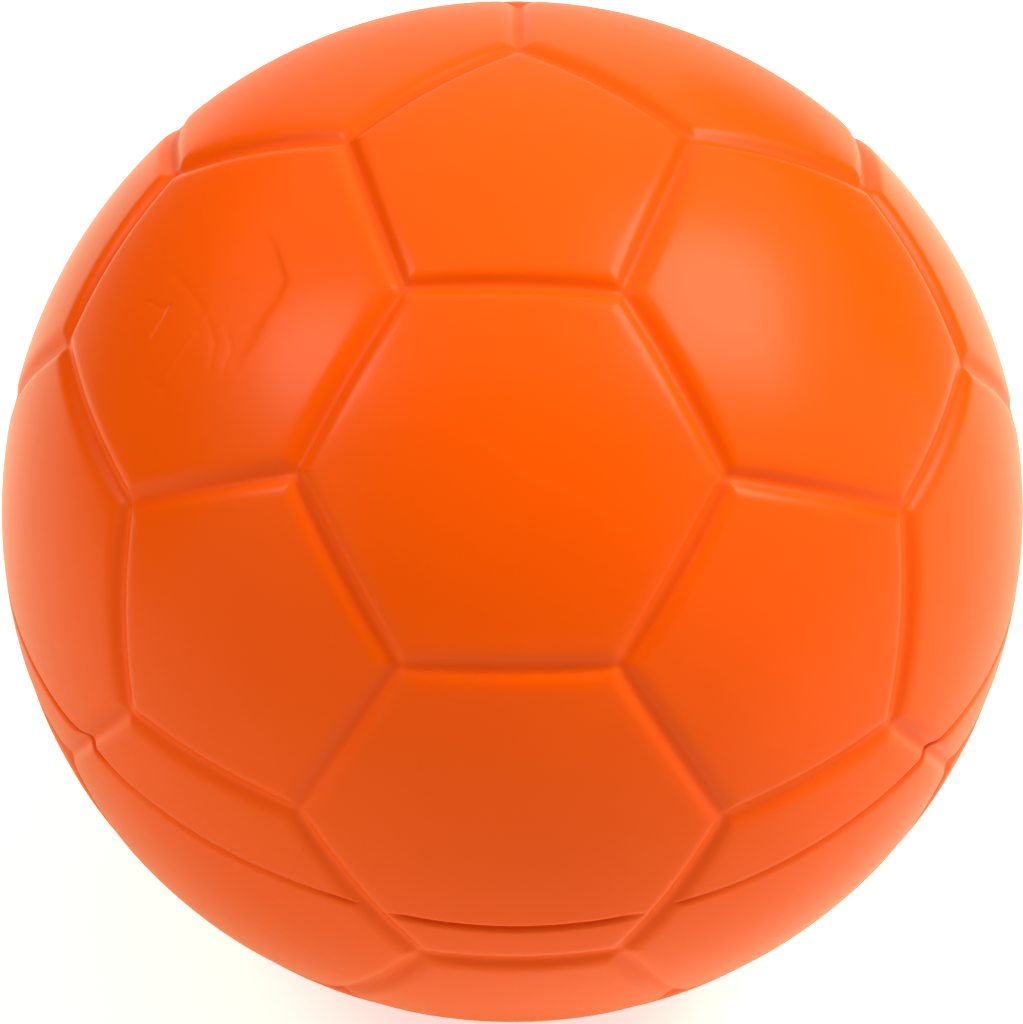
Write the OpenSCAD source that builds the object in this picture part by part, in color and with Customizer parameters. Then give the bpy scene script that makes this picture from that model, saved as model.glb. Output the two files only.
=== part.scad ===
// A soft handball moulded in foam: a light foam core inside a dense coloured skin. The skin forms in the two
// halves of the mould, so it is an upper and a lower shell that meet at the parting line. The mould gives the
// ball the 32 panels of a stitched ball, 12 pentagons and 20 hexagons, with rolled edges and soft seams.
// The mould opens along Z, through the middle of a pentagon, and the ball's middle is the origin.

/* [Ball] */
// Diameter over the crowns of the panels
ball_d = 160; // [140:1:190]
// Thickness of the dense skin over the foam, under the crown of a panel
skin_t = 2; // [1.6:0.1:3]
// How far the parting line runs below the middle of the ball
parting_drop = 2; // [0:0.5:4]

/* [Seams] */
// Width over which two panels roll down into a seam
roll_w = 6.2; // [5:0.2:8]
// How deep the rolled edges reach at the middle of the seam
roll_depth = 0.4; // [0.3:0.05:0.5]
// Radius of the round channel along the seam
channel_r = 1.4; // [1.1:0.1:1.8]
// Depth of the channel's floor below the panels
channel_depth = 0.9; // [0.8:0.05:1.1]
// Radius of the dimple where three seams meet
dimple_r = 3; // [2.5:0.1:4]
// How much deeper the dimple is than the seams that run into it
dimple_sink = 0.15; // [0.1:0.05:0.3]

/* [Parting line] */
// Radius of the rolled lips along the parting line
lip_r = 0.5; // [0.3:0.1:0.7]
// Depth of the fine groove between the lips
lip_depth = 0.4; // [0.2:0.05:0.45]

/* [Hidden] */
$fn = 96;
ball_r = ball_d / 2;
// A seam's cut runs this far past the junction, inside the dimple
seam_overrun = 0.4;
// The panels' own curve drops this much across half a rolled seam, and the roll's arc allows for it
curve_drop = ball_r - sqrt(pow(ball_r, 2) - pow(roll_w / 2, 2));
roll_rise = roll_depth - curve_drop;
roll_r = (pow(roll_w / 2, 2) + pow(roll_rise, 2)) / (2 * roll_rise);
// Radius of the ball at the height of the parting line
parting_r = sqrt(pow(ball_r, 2) - pow(parting_drop, 2));
// Ten of the pentagons lie in two rings of five, at this latitude above and below the middle
ring_lat = atan(1 / 2);
ring_step = 360 / 5;
// The front is -Y: two pentagons of the upper ring lie either side of it, and one of the lower ring below
front_az = -90;
// A junction of three seams lies this share of the way from one pentagon's middle to the next
junction_share = 1 / 3;
// Two cosines of one angle differ by less than this
same_angle_share = 0.001;

function on_ball(az, lat) = [cos(az) * cos(lat), sin(az) * cos(lat), sin(lat)];
function unit(v) = v / norm(v);

pentagons = concat(
    [on_ball(0, 90)],
    [for (k = [0:4]) on_ball(front_az + (k + 1 / 2) * ring_step, ring_lat)],
    [for (k = [0:4]) on_ball(front_az + k * ring_step, -ring_lat)],
    [on_ball(0, -90)]
);
last = len(pentagons) - 1;

function beside(i, j) = abs(pentagons[i] * pentagons[j] - sin(ring_lat)) < same_angle_share;
function junction(i, j) = unit(pentagons[i] + (pentagons[j] - pentagons[i]) * junction_share);

junctions = [for (i = [0:last]) for (j = [0:last]) if (beside(i, j)) junction(i, j)];
hexagon_seams = [for (i = [0:last]) for (j = [i:last]) if (beside(i, j)) [junction(i, j), junction(j, i)]];
pentagon_seams = [
    for (i = [0:last]) for (j = [0:last]) for (k = [j:last])
        if (beside(i, j) && beside(i, k) && beside(j, k)) [junction(i, j), junction(i, k)]
];
seams = concat(hexagon_seams, pentagon_seams);

// Does a point on the ball, or the seam round it, reach above a height?
function reaches(p, height) = p.z * ball_r > height - roll_w;

// Across a seam: the rolled edges of the two panels, and the channel between them
module seam_section() {
    intersection() {
        translate([ball_r, 0])
            square(2 * roll_w, center = true);
        union() {
            translate([ball_r - roll_depth + roll_r, 0])
                circle(r = roll_r);
            translate([ball_r - channel_depth + channel_r, 0])
                circle(r = channel_r);
        }
    }
}

// Turns a seam's section along the great circle from one junction to the next
module along_seam(from, to) {
    normal = unit(cross(from, to));
    side = cross(normal, from);
    over = seam_overrun / ball_r * 180 / PI;
    multmatrix([
        [from.x, side.x, normal.x, 0],
        [from.y, side.y, normal.y, 0],
        [from.z, side.z, normal.z, 0],
        [0, 0, 0, 1]
    ])
        rotate([0, 0, -over])
            rotate_extrude(angle = acos(from * to) + 2 * over)
                children();
}

// The foam fills the skin up to a smooth round boundary, so the skin is thinner under a seam
module foam_form() {
    sphere(r = ball_r - skin_t);
}

// The part of the skin above a height, with half of the parting groove round its edge
module skin_above(height) {
    difference() {
        intersection() {
            sphere(r = ball_r);
            translate([0, 0, ball_d / 2 + height])
                cube([2 * ball_d, 2 * ball_d, ball_d], center = true);
        }
        for (s = seams)
            if (reaches(s[0], height) || reaches(s[1], height))
                along_seam(s[0], s[1])
                    seam_section();
        for (j = junctions)
            if (reaches(j, height))
                translate(j * (ball_r - channel_depth - dimple_sink + dimple_r))
                    sphere(r = dimple_r);
        rotate_extrude()
            translate([parting_r - lip_depth + lip_r, height])
                circle(r = lip_r);
        foam_form();
    }
}

module foam_core() {
    color("moccasin")
        foam_form();
}

module upper_skin() {
    color("orangered")
        skin_above(-parting_drop);
}

// Mirrored top to bottom and turned by half a step of the rings, the panels' pattern is its own lower half
module lower_skin() {
    color("coral")
        rotate([0, 0, ring_step / 2])
            mirror([0, 0, 1])
                skin_above(parting_drop);
}

foam_core();
upper_skin();
lower_skin();
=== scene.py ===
import math

import bpy
import numpy as np
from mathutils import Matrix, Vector


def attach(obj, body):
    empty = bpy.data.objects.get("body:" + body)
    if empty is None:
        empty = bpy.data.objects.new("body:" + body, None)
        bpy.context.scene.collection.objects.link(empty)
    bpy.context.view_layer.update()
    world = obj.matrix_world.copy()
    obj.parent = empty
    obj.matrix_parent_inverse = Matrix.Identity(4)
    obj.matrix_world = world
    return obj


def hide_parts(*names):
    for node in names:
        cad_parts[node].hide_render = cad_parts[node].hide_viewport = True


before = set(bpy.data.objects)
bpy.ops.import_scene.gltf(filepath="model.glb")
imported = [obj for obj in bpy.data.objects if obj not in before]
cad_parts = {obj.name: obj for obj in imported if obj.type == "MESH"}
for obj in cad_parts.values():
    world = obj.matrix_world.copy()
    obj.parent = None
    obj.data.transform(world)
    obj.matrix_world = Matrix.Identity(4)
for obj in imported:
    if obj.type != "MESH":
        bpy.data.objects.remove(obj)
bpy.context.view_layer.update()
print("frame loaded:", ", ".join(sorted(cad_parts)))

mm = 0.001
far = 1.0                   # farther than anything on the ball


# The camera stands where the photograph's did
camera = {
    "distance": 0.968,      # from the middle of the ball
    "elevation": 48.6,      # degrees above the parting line
    "roll": 0.65,           # degrees
    "lens": 216.8,          # millimetres
    "sensor": 36,           # millimetres across
    "shift": (-0.0009, -0.0007),
    "clip": (0.05, 30),
    "pixels": 1024,         # along the photograph's longer side
    "aim": (512.4, 511.24),     # the pixel that the lens points at
}


def placeCamera():
    bpy.ops.object.camera_add(location=(0, 0, 0))
    made = bpy.context.object
    made.name = "camera"
    made.data.lens, made.data.sensor_width = camera["lens"], camera["sensor"]
    made.data.shift_x, made.data.shift_y = camera["shift"]
    made.data.clip_start, made.data.clip_end = camera["clip"]
    lift = math.radians(camera["elevation"])
    back = Vector((0, -math.cos(lift), math.sin(lift)))
    made.location = back * camera["distance"]
    made.rotation_euler = (math.radians(90) - lift, 0, 0)
    made.rotation_euler.rotate_axis("Z", math.radians(camera["roll"]))
    bpy.context.scene.camera = made
    bpy.context.view_layer.update()
    return made


cameraObject = placeCamera()
print("camera placed")


# The round form that the skins and the foam share
ball = {
    "radius": 80 * mm,
    "turn": 18,             # puts a hexagon between two upper pentagons at the front
    "skin": 2 * mm,         # how thick the skins are
    "flat": 0.16 * mm,      # how far the foam gives where it rests
    "uneven": 0.07 * mm,    # how far the moulded form strays from round
    "unevenSize": 34 * mm,  # and over what length
    "unevenSeed": 9,
    "inset": 0.1 * mm,      # keeps the uneven form within the radius
    "crisp": 60,            # degrees: an edge sharper than this isn't smoothed
    "outerCuts": 4,         # halvings of every panel
    "innerCuts": 3,
    # triangles this near a seam, the parting line and a crease are halved again, in three rounds
    "bands": [
        (4.2 * mm, 3.4 * mm, 2.5 * mm),
        (3.2 * mm, 1.7 * mm, 1.5 * mm),
        (0, 0.8 * mm, 1.0 * mm),
    ],
}


def photoSpot(x, y):
    # The place on the ball that the photograph shows x, y pixels from its top left corner
    focal = camera["lens"] / camera["sensor"] * camera["pixels"]
    aimX, aimY = camera["aim"]
    ray = Vector(((x - aimX) / focal, (aimY - y) / focal, -1))
    ray.rotate(cameraObject.rotation_euler)
    ray.normalize()
    eye = cameraObject.location
    half = eye.dot(ray)
    reach = -half - math.sqrt(half * half - eye.length_squared + ball["radius"] ** 2)
    return eye + ray * reach


def selectOnly(*things):
    bpy.ops.object.select_all(action="DESELECT")
    for thing in things:
        thing.select_set(True)
    bpy.context.view_layer.objects.active = things[0]


def readPoints(thing):
    flat = np.empty(len(thing.data.vertices) * 3)
    thing.data.vertices.foreach_get("co", flat)
    return flat.reshape(-1, 3)


def writePoints(thing, points):
    thing.data.vertices.foreach_set("co", points.ravel())
    thing.data.update()


def faceMiddles(thing):
    flat = np.empty(len(thing.data.polygons) * 3)
    thing.data.polygons.foreach_get("center", flat)
    return flat.reshape(-1, 3)


def chooseFaces(thing, chosen):
    # Leaves the mesh in edit mode with just these faces selected
    selectOnly(thing)
    bpy.ops.object.mode_set(mode="EDIT")
    bpy.ops.mesh.select_mode(type="FACE")
    bpy.ops.mesh.select_all(action="DESELECT")
    bpy.ops.object.mode_set(mode="OBJECT")
    thing.data.polygons.foreach_set("select", np.asarray(chosen, bool))
    bpy.ops.object.mode_set(mode="EDIT")


def onSphere(points, radius):
    return points * (radius / np.linalg.norm(points, axis=1))[:, None]


def roundTo(thing, radius):
    writePoints(thing, onSphere(readPoints(thing), radius))


def ease(share):
    # From 0 to 1 with soft ends
    return share ** 2 * (3 - 2 * share)


def swell(points, size, seed):
    # A slow wave over the surface, from about -1 to 1, whose humps are about this size
    dice = np.random.default_rng(seed)
    waves = 7
    total = np.zeros(len(points))
    for _ in range(waves):
        way = dice.normal(size=3)
        way /= np.linalg.norm(way)
        pace = math.pi / size * dice.uniform(0.7, 1.3)
        total += np.sin(points @ way * pace + dice.uniform(0, 2 * math.pi))
    return total / (waves / 2)


def valley(distance, depth, reach, floor, foot, shoulder):
    # Two straight walls beside a floor, with their feet and shoulders rounded
    wall = foot * (np.logaddexp(0, (distance - floor) / foot)
                   + np.logaddexp(0, (-distance - floor) / foot)
                   - 2 * np.logaddexp(0, -floor / foot))
    return depth / reach * shoulder * np.logaddexp(0, (reach - wall) / shoulder)


# The seams between the panels
seam = {
    "floor": 0.58 * mm,     # half the width of the flat floor
    "foot": 0.25 * mm,      # rounds the foot of the walls
    "depth": 0.60 * mm,     # the steep wall beside the floor
    "reach": 1.00 * mm,     # the width of that wall, midway along the seam
    "shoulder": 0.28 * mm,  # rounds its upper edge
    "roll": 0.46 * mm,      # the rolled edge above that wall
    "rollReach": 2.15 * mm,     # the width of that edge, wall and all
    "rollShoulder": 0.32 * mm,  # rounds it into the panel
    "narrowing": 0.25,      # how much narrower the wall is where the seams meet
    "fading": 0.40,         # and how much shallower
    "meeting": 5.0,         # lower is deeper where three seams meet
    "deeper": 0.22,         # how much deeper the seams are round the top
    "deeperFrom": 0.3,      # the height where that begins, as a share of the radius
    "deeperOver": 0.5,      # and the height it takes to come in
    "uneven": 0.06,         # how much their depth strays
    "unevenSize": 21 * mm,
    "unevenSeed": 4,
    # where they meet on this ball, in pixels of the photograph: the mould wasn't quite even
    "spots": [
        (624, 290), (694, 135), (518, 44), (344, 136), (401, 286), (730, 476), (908, 509),
        (621, 668), (727, 820), (894, 725), (869, 186), (967, 361), (63, 341), (172, 170),
        (292, 472), (397, 667), (125, 501), (294, 813), (126, 713), (620, 955), (421, 957),
    ],
}


def seamDistances(points, net):
    # Distance from each point to each seam, one seam at a time, and how far along the seam
    # that is, from 0 to 1
    units = onSphere(points, 1)
    for start, end in net:
        normal = np.cross(start, end)
        normal /= np.linalg.norm(normal)
        side = np.cross(normal, start)
        length = math.acos(np.dot(start, end))
        turn = np.clip(np.arctan2(units @ side, units @ start), 0, length)
        nearest = np.outer(np.cos(turn), start) + np.outer(np.sin(turn), side)
        yield ball["radius"] * np.linalg.norm(units - nearest, axis=1), turn / length


def nearestSeam(points, net):
    nearest = np.full(len(points), far)
    for distance, along in seamDistances(points, net):
        nearest = np.minimum(nearest, distance)
    return nearest


def seamDepth(points, net):
    top = (points[:, 2] / ball["radius"] - seam["deeperFrom"]) / seam["deeperOver"]
    sway = 1 + seam["uneven"] * swell(points, seam["unevenSize"], seam["unevenSeed"])
    sway *= 1 + seam["deeper"] * ease(np.clip(top, 0, 1))
    total = np.zeros(len(points))
    for distance, along in seamDistances(points, net):
        ends = np.abs(2 * along - 1)
        slim = 1 - seam["narrowing"] * ends ** 3
        channel = valley(distance, seam["depth"] * (1 - seam["fading"] * ends ** 4),
                         seam["reach"] * slim, seam["floor"] * slim, seam["foot"],
                         seam["shoulder"])
        roll = valley(distance, seam["roll"], seam["rollReach"], seam["floor"], seam["foot"],
                      seam["rollShoulder"])
        total += (channel + roll) ** seam["meeting"]
    return total ** (1 / seam["meeting"]) * sway


# The parting line, where the two halves of the mould met
line = {
    "depth": 0.5 * mm,
    "reach": 0.75 * mm,     # half the width of the line
    "foot": 0.06 * mm,      # rounds its bottom
    "shoulder": 0.16 * mm,  # rounds its upper edges
    "crossing": 3,          # lower is deeper where it crosses a seam
    "fade": 14 * mm,        # the mesh slides with it up to this far away
    "smoothHeight": 3,      # degrees either way over which the course is evened out
    "smoothStrength": 1,
    # degrees round from the front, height as a share of the radius, strength
    "course": [
        (-180, -0.022, 0.8), (-140, -0.030, 0.9), (-105, -0.020, 0.8), (-76, -0.026, 1.2),
        (-60, -0.016, 1.3), (-56, -0.012, 1.3), (-52.5, 0.010, 1.5), (-50, -0.013, 0.9),
        (-43, -0.012, 0.75), (-33, -0.018, 0.8), (-22, -0.021, 0.8), (-18, -0.027, 1.3),
        (-16.5, -0.029, 1.0), (-15, -0.032, 0.1), (-13, -0.036, 0.1), (-12, -0.038, 1.1),
        (-10, -0.041, 1.4), (0, -0.047, 1.5), (12, -0.042, 1.3), (13.5, -0.039, 1.0),
        (14.5, -0.037, 0.1), (17, -0.032, 0.1), (18.5, -0.031, 1.2), (24, -0.028, 0.8),
        (38, -0.012, 0.8), (48, 0.000, 1.0), (53, 0.006, 1.5), (60, -0.006, 0.9),
        (72, -0.030, 1.0), (105, -0.022, 0.8), (140, -0.028, 0.9), (180, -0.022, 0.8),
    ],
    # where it tore a little on its way across a seam: degrees round, half the length of the
    # tear in degrees, depth, half width
    "tears": [(-52.6, 1.6, 0.55 * mm, 0.50 * mm), (53.0, 2.0, 0.50 * mm, 0.45 * mm)],
    "tearShade": 2,          # how much a tear adds to the line's painted shade
}


def frontAzimuth(points):
    return np.degrees(np.arctan2(points[:, 0], -points[:, 1]))


def lineCourse(azimuth):
    # How high the line runs and how strong it is, each the mean of five readings close by
    turns, heights, strengths = np.array(line["course"]).T
    height, strength = 0, 0
    for step in np.linspace(-1, 1, 5):
        height = height + np.interp(azimuth + step * line["smoothHeight"], turns, heights) / 5
        strength = strength + np.interp(azimuth + step * line["smoothStrength"],
                                        turns, strengths) / 5
    return height * ball["radius"], strength


# Where the upper left hexagon has been pressed: the points are pixels of the photograph
press = {
    "middle": (205, 305),
    "around": 26 * mm,      # nothing of it lies farther from the middle
    "rim": [(262, 226), (276, 245), (286, 279), (279, 297), (264, 317), (254, 336), (240, 360),
            (231, 374)],
    "sink": 0.27 * mm,      # how far the pressed side lies below the rim
    "sharp": (0.182 * mm, 0.468 * mm),  # how quickly it rises at the rim's start and end
    "fading": 0.8,          # lower keeps the rim strong closer to its ends
    "spread": 11 * mm,      # how far the hollow runs away from the rim
    # path, depth, half width
    "creases": [
        ([(147, 301), (153, 303), (161, 308), (169, 306)], 0.13 * mm, 0.30 * mm),
        ([(170, 305), (163, 319), (152, 337)], 0.18 * mm, 0.32 * mm),
        ([(135, 367), (149, 380), (164, 392)], 0.07 * mm, 0.55 * mm),
        ([(167, 266), (183, 284), (201, 307)], 0.05 * mm, 0.60 * mm),
        ([(192, 334), (178, 355), (165, 377)], -0.05 * mm, 0.50 * mm),
        ([(207, 318), (214, 342), (210, 368)], 0.03 * mm, 0.50 * mm),
        ([(226, 330), (231, 350), (222, 371)], 0.03 * mm, 0.50 * mm),
    ],
}


def pathDistance(points, spots):
    # Signed distance from each point to a path over the surface, and how far along the path
    # that is, from 0 to 1: the sign is positive on the left, as seen in the photograph, of a
    # path that runs down
    places = np.array([photoSpot(x, y) for x, y in spots])
    steps = np.linalg.norm(np.diff(places, axis=0), axis=1)
    nearest, signed = np.full(len(points), far), np.full(len(points), far)
    along = np.zeros(len(points))
    for i, (start, end) in enumerate(zip(places[:-1], places[1:])):
        run = end - start
        share = np.clip((points - start) @ run / (run @ run), 0, 1)
        gap = points - start - np.outer(share, run)
        distance = np.linalg.norm(gap, axis=1)
        closer = distance < nearest
        nearest = np.where(closer, distance, nearest)
        signed = np.where(closer, distance * np.sign(gap @ np.cross(run, start)), signed)
        along = np.where(closer, (steps[:i].sum() + share * steps[i]) / steps.sum(), along)
    return signed, along


def nearPress(points):
    middle = np.array(photoSpot(*press["middle"]))
    return np.linalg.norm(points - middle, axis=1) < press["around"]


def creaseDistance(points):
    nearest = np.full(len(points), far)
    near = nearPress(points)
    for path in [press["rim"]] + [crease[0] for crease in press["creases"]]:
        signed, along = pathDistance(points[near], path)
        nearest[near] = np.minimum(nearest[near], np.abs(signed))
    return nearest


def pressDepth(points):
    near = nearPress(points)
    signed, along = pathDistance(points[near], press["rim"])
    sharp = np.interp(along, (0, 1), press["sharp"])
    rise = 1 / (1 + np.exp(-np.clip(signed / sharp, -30, 30)))
    hollow = np.exp(-(np.maximum(signed, 0) / press["spread"]) ** 2)
    total = press["sink"] * np.sin(math.pi * along) ** press["fading"] * rise * hollow
    for path, deep, width in press["creases"]:
        signed, along = pathDistance(points[near], path)
        total += deep * np.exp(-(signed / width) ** 2)
    depth = np.zeros(len(points))
    depth[near] = total
    return depth


def panelledBall(name, cuts, bands):
    # The panels of a truncated icosahedron on a sphere, with the parting line on an edge loop
    bpy.ops.mesh.primitive_ico_sphere_add(subdivisions=1, radius=ball["radius"])
    made = bpy.context.object
    made.name = name
    made.rotation_euler = (0, 0, math.radians(ball["turn"]))
    bpy.ops.object.transform_apply(location=False, rotation=True, scale=False)
    bpy.ops.object.mode_set(mode="EDIT")
    bpy.ops.mesh.select_all(action="SELECT")
    bpy.ops.mesh.bevel(offset_type="PERCENT", offset_pct=100 / 3, affect="VERTICES")
    bpy.ops.object.mode_set(mode="OBJECT")

    # The corners that the photograph shows move to where it shows them
    corners = onSphere(readPoints(made), 1)
    for x, y in seam["spots"]:
        spot = np.array(photoSpot(x, y).normalized())
        corners[np.argmax(corners @ spot)] = spot
    writePoints(made, corners * ball["radius"])
    net = [(corners[e.vertices[0]], corners[e.vertices[1]]) for e in made.data.edges]

    bpy.ops.object.mode_set(mode="EDIT")
    bpy.ops.mesh.select_all(action="SELECT")
    bpy.ops.mesh.poke()
    bpy.ops.mesh.select_all(action="SELECT")
    bpy.ops.mesh.bisect(plane_co=(0, 0, 0), plane_no=(0, 0, 1))
    bpy.ops.mesh.select_all(action="SELECT")
    bpy.ops.mesh.quads_convert_to_tris()
    for _ in range(cuts):
        bpy.ops.mesh.select_all(action="SELECT")
        bpy.ops.mesh.subdivide(number_cuts=1)
    bpy.ops.object.mode_set(mode="OBJECT")
    roundTo(made, ball["radius"])

    for seamBand, lineBand, creaseBand in bands:
        middles = faceMiddles(made)
        chosen = nearestSeam(middles, net) < seamBand
        chosen |= np.abs(middles[:, 2]) < lineBand
        chosen |= creaseDistance(middles) < creaseBand
        chooseFaces(made, chosen)
        bpy.ops.mesh.subdivide(number_cuts=1)
        bpy.ops.mesh.select_all(action="SELECT")
        bpy.ops.mesh.quads_convert_to_tris()
        bpy.ops.object.mode_set(mode="OBJECT")
        roundTo(made, ball["radius"])

    # The edge loop slides from the middle of the ball to the course of the parting line
    points = readPoints(made)
    height, strength = lineCourse(frontAzimuth(points))
    near = np.clip(1 - np.abs(points[:, 2]) / line["fade"], 0, 1)
    points[:, 2] += height * ease(near)
    writePoints(made, onSphere(points, ball["radius"]))
    print(name, "has", len(made.data.polygons), "faces")
    return made, net


def relief(points, net):
    # How deep the surface lies under the round of the ball, at each point: in all, in the
    # seams and in the parting line
    seams = seamDepth(points, net)
    azimuth = frontAzimuth(points)
    height, strength = lineCourse(azimuth)
    away = np.abs(points[:, 2] - height)
    parting = strength * valley(away, line["depth"], line["reach"], 0, line["foot"],
                                line["shoulder"])
    power = line["crossing"]
    depth = (seams ** power + parting ** power) ** (1 / power)
    depth += pressDepth(onSphere(points, ball["radius"]))
    for turn, length, deep, width in line["tears"]:
        tear = deep * np.exp(-(away / width) ** 2 - ((azimuth - turn) / length) ** 2)
        # A tear deepens the line and darkens it further with painted shade
        depth, parting = depth + tear, parting + line["tearShade"] * tear
    return depth, seams, parting


def keepDepth(thing, name, share):
    # For the material, which darkens the seams and the parting line with it as painted shade and
    # roughens the seams: 1 is the full depth
    kept = thing.data.attributes.new(name, "FLOAT", "POINT")
    kept.data.foreach_set("value", np.clip(share, 0, 1.5))


def shapeOutside(thing, net):
    points = readPoints(thing)
    depth, seams, parting = relief(points, net)
    uneven = ball["uneven"] * swell(points, ball["unevenSize"], ball["unevenSeed"])
    radius = ball["radius"] - depth + uneven - ball["inset"]
    points = onSphere(points, 1) * radius[:, None]
    points[:, 2] = np.maximum(points[:, 2], ball["flat"] - ball["radius"])
    writePoints(thing, points)
    keepDepth(thing, "groove", seams / (seam["depth"] + seam["roll"]))
    keepDepth(thing, "parting", parting / line["depth"])


def splitUpper(thing):
    # Takes the faces above the parting line into an object of their own
    middles = faceMiddles(thing)
    height, strength = lineCourse(frontAzimuth(middles))
    chooseFaces(thing, middles[:, 2] > height)
    bpy.ops.mesh.separate(type="SELECTED")
    bpy.ops.object.mode_set(mode="OBJECT")
    return next(o for o in bpy.context.selected_objects if o is not thing)


def closeSkin(outside, inside, name):
    # Joins the outer and inner face of one half and bridges them round the parting line
    selectOnly(inside)
    bpy.ops.object.mode_set(mode="EDIT")
    bpy.ops.mesh.select_all(action="SELECT")
    bpy.ops.mesh.flip_normals()
    bpy.ops.object.mode_set(mode="OBJECT")
    selectOnly(outside, inside)
    bpy.ops.object.join()
    made = bpy.context.object
    made.name = name
    bpy.ops.object.mode_set(mode="EDIT")
    bpy.ops.mesh.select_mode(type="EDGE")
    bpy.ops.mesh.select_all(action="DESELECT")
    bpy.ops.mesh.select_non_manifold(extend=False, use_wire=False, use_multi_face=False,
                                     use_non_contiguous=False, use_verts=False)
    bpy.ops.mesh.bridge_edge_loops()
    bpy.ops.mesh.select_all(action="SELECT")
    bpy.ops.mesh.normals_make_consistent(inside=False)
    bpy.ops.object.mode_set(mode="OBJECT")
    bpy.ops.object.shade_smooth_by_angle(angle=math.radians(ball["crisp"]))
    print(name, "closed with", len(made.data.polygons), "faces")
    return made


def makeSkins():
    outer, net = panelledBall("outerForm", ball["outerCuts"], ball["bands"])
    inner, net = panelledBall("innerForm", ball["innerCuts"], [])
    # Both forms are split along the parting line before they get their final shape
    upperOuter, upperInner = splitUpper(outer), splitUpper(inner)
    for half in (outer, upperOuter):
        shapeOutside(half, net)
    for half in (inner, upperInner):
        roundTo(half, ball["radius"] - ball["skin"])
    upper = closeSkin(upperOuter, upperInner, "upperSkin")
    lower = closeSkin(outer, inner, "lowerSkin")
    return upper, lower


def makeCore():
    core, net = panelledBall("foamCore", ball["innerCuts"], [])
    roundTo(core, ball["radius"] - ball["skin"])
    selectOnly(core)
    bpy.ops.object.shade_smooth()
    return core


upperSkin, lowerSkin = makeSkins()
foamCore = makeCore()


class Wire:
    # A number, colour or vector on its way through one set of nodes
    def __init__(self, finish, socket):
        self.finish, self.socket = finish, socket

    def maths(self, operation, *others):
        return self.finish.node("ShaderNodeMath", {"operation": operation},
                                dict(enumerate((self, *others))))

    def __add__(self, other): return self.maths("ADD", other)
    def __radd__(self, other): return self.maths("ADD", other)
    def __sub__(self, other): return self.maths("SUBTRACT", other)
    def __rsub__(self, other): return self.maths("MULTIPLY_ADD", -1.0, other)
    def __mul__(self, other): return self.maths("MULTIPLY", other)
    def __rmul__(self, other): return self.maths("MULTIPLY", other)


class Finish:
    # The nodes of one material, or of the sky
    def __init__(self, data, shader="Principled BSDF"):
        self.data = data
        self.data.use_nodes = True
        self.tree = self.data.node_tree
        self.shader = self.tree.nodes[shader]

    def feed(self, socket, value):
        if isinstance(value, Wire):
            self.tree.links.new(value.socket, socket)
        else:
            socket.default_value = value

    def node(self, kind, settings=None, values=None, output=0):
        made = self.tree.nodes.new(kind)
        for key, value in (settings or {}).items():
            setattr(made, key, value)
        for key, value in (values or {}).items():
            self.feed(made.inputs[key], value)
        return Wire(self, made.outputs[output])

    def wear(self, **parts):
        for key, value in parts.items():
            self.feed(self.shader.inputs[key.replace("_", " ")], value)

    def place(self):
        return self.node("ShaderNodeTexCoord", output="Object")

    def noise(self, scale, detail):
        return self.node("ShaderNodeTexNoise", {},
                         {"Vector": self.place(), "Scale": scale, "Detail": detail})

    def spread(self, value, low, high):
        # 0 below low, 1 above high
        return self.node("ShaderNodeMapRange", {"interpolation_type": "SMOOTHSTEP"},
                         {"Value": value, "From Min": low, "From Max": high})

    def blend(self, factor, first, second):
        return self.node("ShaderNodeMix", {"data_type": "RGBA"},
                         {"Factor": factor, "A": first, "B": second}, output="Result")

    def attribute(self, name):
        return self.node("ShaderNodeAttribute", {"attribute_name": name}, output="Fac")

    def bump(self, height, distance):
        return self.node("ShaderNodeBump", {},
                         {"Height": height, "Distance": distance, "Strength": 1.0})


def newFinish(name):
    return Finish(bpy.data.materials.new(name))


# Noise scales are per metre
skinLooks = {
    "orange": (0.86, 0.090, 0.0, 1),
    "deep": (0.82, 0.081, 0.0, 1),      # in wide clouds over the orange
    "cloudScale": 28,
    "cloudy": 0.5,                      # how strong those clouds are
    "valley": (0.74, 0.050, 0.001, 1),  # painted shade in the seams and the parting line
    "seamShade": 0.15,                   # how strong that painted shade is in the seams
    "lineShade": 0.8,                    # and in the line
    "roughness": 0.29,
    "patchScale": 9,
    "patchy": 0.08,                     # how much the roughness varies in wide patches
    "dull": 0.22,                       # how much rougher the floors of the seams are
    "gloss": 0.118,
    "peelScale": 320,
    "peel": 0.02 * mm,                  # how high the mould's faint grain stands
}


def skinFinish():
    made = newFinish("skin")
    cloud = made.noise(skinLooks["cloudScale"], 2)
    patch = made.noise(skinLooks["patchScale"], 1)
    groove = made.spread(made.attribute("groove"), 0.6, 1.4)
    parting = made.spread(made.attribute("parting"), 0.5, 1.2)
    clouds = made.spread(cloud, 0.35, 0.75) * skinLooks["cloudy"]
    colour = made.blend(clouds, skinLooks["orange"], skinLooks["deep"])
    # Painted shade: the seams and the parting line are darkened in the colour
    colour = made.blend(groove * skinLooks["seamShade"], colour, skinLooks["valley"])
    colour = made.blend(parting * skinLooks["lineShade"], colour, skinLooks["valley"])
    rough = skinLooks["roughness"] + skinLooks["patchy"] * (patch - 0.5)
    rough = rough + skinLooks["dull"] * groove
    peel = made.bump(made.noise(skinLooks["peelScale"], 1), skinLooks["peel"])
    made.wear(Base_Color=colour, Roughness=rough, Normal=peel,
              Specular_IOR_Level=skinLooks["gloss"])
    return made.data


foamLooks = {
    "cell": (0.50, 0.33, 0.14, 1),
    "wall": (0.84, 0.60, 0.30, 1),      # between the cells
    "cellScale": 1400,
    "cellDepth": 0.25 * mm,
    "brown": (0.78, 0.50, 0.22, 1),     # in wide clouds over both
    "cloudScale": 40,
    "cloudy": 0.3,
    "roughness": 0.9,
}


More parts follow.
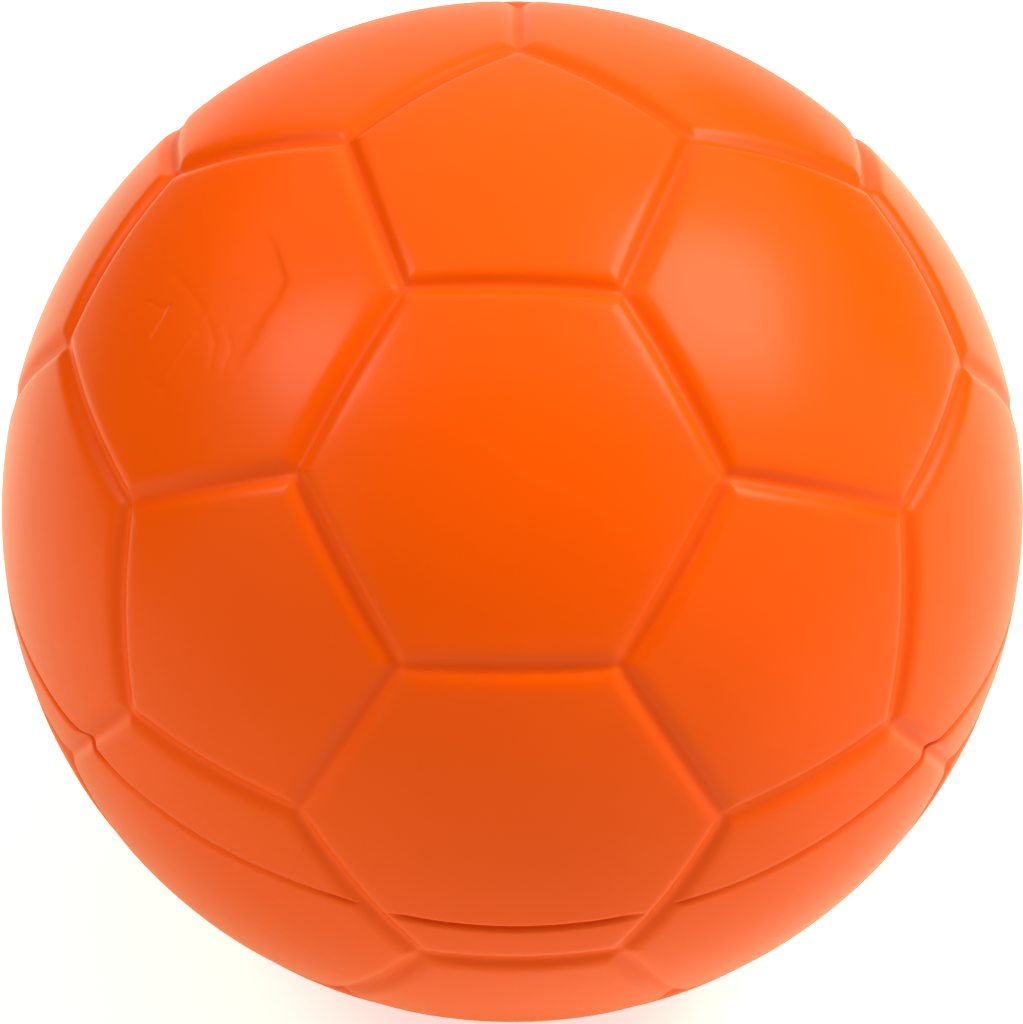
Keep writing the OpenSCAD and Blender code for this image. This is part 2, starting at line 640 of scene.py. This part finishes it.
def foamFinish():
    made = newFinish("foam")
    cells = made.node("ShaderNodeTexVoronoi", {},
                      {"Vector": made.place(), "Scale": foamLooks["cellScale"]})
    clouds = made.spread(made.noise(foamLooks["cloudScale"], 2), 0.4, 0.7) * foamLooks["cloudy"]
    colour = made.blend(made.spread(cells, 0.1, 0.6), foamLooks["cell"], foamLooks["wall"])
    colour = made.blend(clouds, colour, foamLooks["brown"])
    made.wear(Base_Color=colour, Roughness=foamLooks["roughness"],
              Normal=made.bump(cells, foamLooks["cellDepth"]))
    return made.data


skinMaterial, foamMaterial = skinFinish(), foamFinish()
for piece, material, slotName, node in (
    (upperSkin, skinMaterial, "skin", "upper_skin"),
    (lowerSkin, skinMaterial, "skin", "lower_skin"),
    (foamCore, foamMaterial, "foam", "foam_core"),
):
    piece.data.materials.clear()
    piece.data.materials.append(material)
    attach(piece, "root")
    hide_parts(node)
print("materials and bodies set")


# Paper floor, sky, lamps and flags
studio = {
    "floor": 6.0,
    "paper": (0.92, 0.91, 0.85, 1),
    "white": (1, 1, 1, 1),
    "warm": (1, 0.98, 0.82),        # the colour of the lamps and of the sky's light
    "ambient": 0.65,                # the sky's light, where the camera sees 1
    "lift": 0.58,                   # the paper's own light, as the camera sees it
    "glow": (0.34, 0.33, 0.08, 1),  # what share of it falls on the ball
    "matt": 0.9,                    # the roughness of paper and cards
    # name, place, width and height, watts
    "lamps": [
        ("rightBox", (0.925, 0.313, 1.138), (0.82, 0.82), 24),
        ("leftBox", (-0.974, 0.012, 1.14), (0.53, 0.53), 9),
    ],
    # name, degrees round from the front, distance, width and height, grey
    "flags": [
        ("leftFlag", -114, 0.62, (1.0, 0.42), 0.02),
        ("rightFlag", 136, 0.62, (0.58, 0.30), 0.02),
        ("backFlag", 180, 0.22, (0.24, 0.12), 1.0),
    ],
    # the dark side of the room, behind the camera
    "backAway": 1.3,
    "backSize": (1.7, 1.35),
    "backGrey": 0.02,
}


def makeFloor():
    rest = (0, 0, ball["flat"] - ball["radius"])
    bpy.ops.mesh.primitive_plane_add(size=studio["floor"], location=rest)
    made = bpy.context.object
    made.name = "floor"
    finish = newFinish("paper")
    seen = finish.node("ShaderNodeLightPath", output="Is Camera Ray")
    finish.wear(Base_Color=studio["paper"], Roughness=studio["matt"], Specular_IOR_Level=0.1,
                Emission_Color=finish.blend(seen, studio["glow"], studio["white"]),
                Emission_Strength=studio["lift"])
    made.data.materials.append(finish.data)


def makeSky():
    # White to the camera and in reflections, dimmer and warmer as light on the ball
    bpy.context.scene.world = bpy.data.worlds.new("studio")
    sky = Finish(bpy.context.scene.world, "Background")
    seen, mirrored, through = (sky.node("ShaderNodeLightPath", output=f"Is {ray} Ray")
                               for ray in ("Camera", "Glossy", "Transmission"))
    direct = seen.maths("MAXIMUM", mirrored).maths("MAXIMUM", through)
    sky.wear(Color=sky.blend(seen, (*studio["warm"], 1), studio["white"]),
             Strength=sky.node("ShaderNodeMapRange", {}, {
                 "Value": direct, "To Min": studio["ambient"], "To Max": 1.0}))


def addLamp(name, place, size, power):
    bpy.ops.object.light_add(type="AREA", location=place)
    made = bpy.context.object
    made.name = name
    made.data.shape = "RECTANGLE"
    made.data.size, made.data.size_y = size
    made.data.energy = power
    made.data.color = studio["warm"]
    made.rotation_euler = Vector(place).to_track_quat("Z", "Y").to_euler()


def addCard(name, place, rotation, size, grey):
    # A card that the camera doesn't see, to shade the ball or throw light back on it
    bpy.ops.mesh.primitive_plane_add(size=1, location=place, rotation=rotation)
    made = bpy.context.object
    made.name = name
    made.scale = (*size, 1)
    bpy.ops.object.transform_apply(location=True, rotation=True, scale=True)
    finish = newFinish(name)
    finish.wear(Base_Color=(grey, grey, grey, 1), Roughness=studio["matt"])
    made.data.materials.append(finish.data)
    made.visible_camera = False


def addFlag(name, azimuth, away, size, grey):
    # A card that stands on the floor beside the ball and faces it
    turn = math.radians(azimuth)
    height = -ball["radius"] + size[1] / 2 + mm
    place = (math.sin(turn) * away, -math.cos(turn) * away, height)
    addCard(name, place, (math.radians(90), 0, turn), size, grey)


makeFloor()
makeSky()
for lamp in studio["lamps"]:
    addLamp(*lamp)
for flag in studio["flags"]:
    addFlag(*flag)
addCard("backCard", cameraObject.location.normalized() * studio["backAway"],
        cameraObject.rotation_euler, studio["backSize"], studio["backGrey"])

bpy.context.scene.view_settings.view_transform = "Standard"
print("studio lit")
